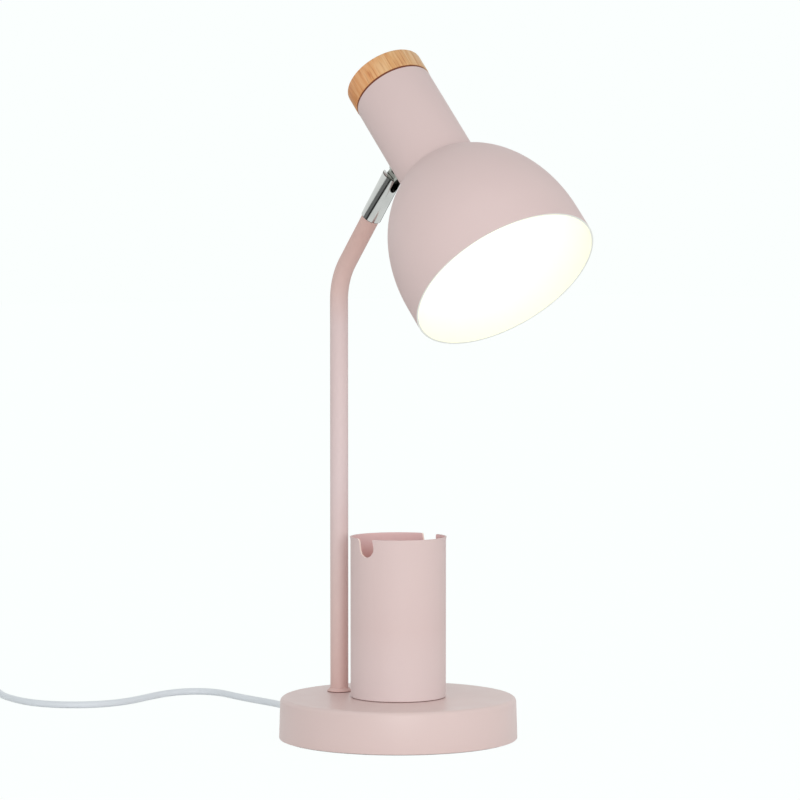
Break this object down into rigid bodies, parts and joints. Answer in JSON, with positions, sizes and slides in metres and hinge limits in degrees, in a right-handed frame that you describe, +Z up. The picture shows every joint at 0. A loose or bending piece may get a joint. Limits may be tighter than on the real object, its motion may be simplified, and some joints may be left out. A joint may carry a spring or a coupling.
{
  "type": "desk lamp with pen holder",
  "caption": "Desk lamp with a round base, a pen cup on it, a bent post and a tilting spun shade with a wooden cap, on a cord with a switch and a plug.",
  "frame": {"origin": "centre of the base's underside, on the table", "axes": "+Z up; the shade faces -Y; the cord leaves the base towards +Y; the tilt hinge's axis runs along X"},
  "size_m": [0.2592, 0.6617, 0.4596],
  "materials": {
    "rose_metal": "matt powder coat, dusty rose",
    "chrome": "bright plated",
    "plain_steel": "zinc plated",
    "cast_weight": "raw casting",
    "wood": "clear satin lacquer, straight grain",
    "foot_pad": "matt foam",
    "white_plastic": "satin",
    "washer_plastic": "matt",
    "cord_white": "satin flexible sheath",
    "lead_sheath": "satin flexible sheath",
    "bulb_metal": "nickel plated",
    "bulb_glass": "frosted"
  },
  "bodies": {
    "stand": {"base_cover": "rose_metal", "base_weight": "cast_weight", "base_plate": "plain_steel", "base_pad": "foot_pad", "post_tube": "rose_metal", "post_collar": "rose_metal", "post_nipple": "plain_steel", "post_washer": "plain_steel", "post_nut": "plain_steel", "pen_cup": "rose_metal", "cup_screw": "plain_steel", "cup_nut": "plain_steel", "hinge_barrel": "chrome", "hinge_screw": "chrome", "hinge_washers": "washer_plastic", "inner_lead": "lead_sheath", "cord_gland": "cord_white", "cord_lead": "cord_white", "cord_link": "cord_white", "cord_coil": "cord_white", "cord_tail": "cord_white", "cord_ties": "white_plastic", "plug_body": "cord_white", "plug_pins": "bulb_metal", "switch_base": "white_plastic", "switch_cover": "white_plastic", "switch_screws": "plain_steel"},
    "head": {"hinge_tongue": "chrome", "saddle_washer": "chrome", "stud_nut": "plain_steel", "shade": "rose_metal", "wood_cap": "wood", "cap_screws": "plain_steel", "lampholder": "white_plastic", "holder_nut": "plain_steel", "bulb_cap": "bulb_metal", "bulb_glass": "bulb_glass", "head_lead": "lead_sheath"},
    "rocker": {"switch_rocker": "white_plastic"}
  },
  "joints": [
    {"name": "head_tilt", "type": "hinge", "parent": "stand", "child": "head", "pos_m": [-0.013, -0.00762, 0.37441], "axis": [-1, 0, 0], "range_deg": [-45, 75]},
    {"name": "rocker_press", "type": "hinge", "parent": "stand", "child": "rocker", "pos_m": [-0.0875, 0.395, 0.0138], "axis": [1, 0, 0], "range_deg": [-20, 0]}
  ]
}
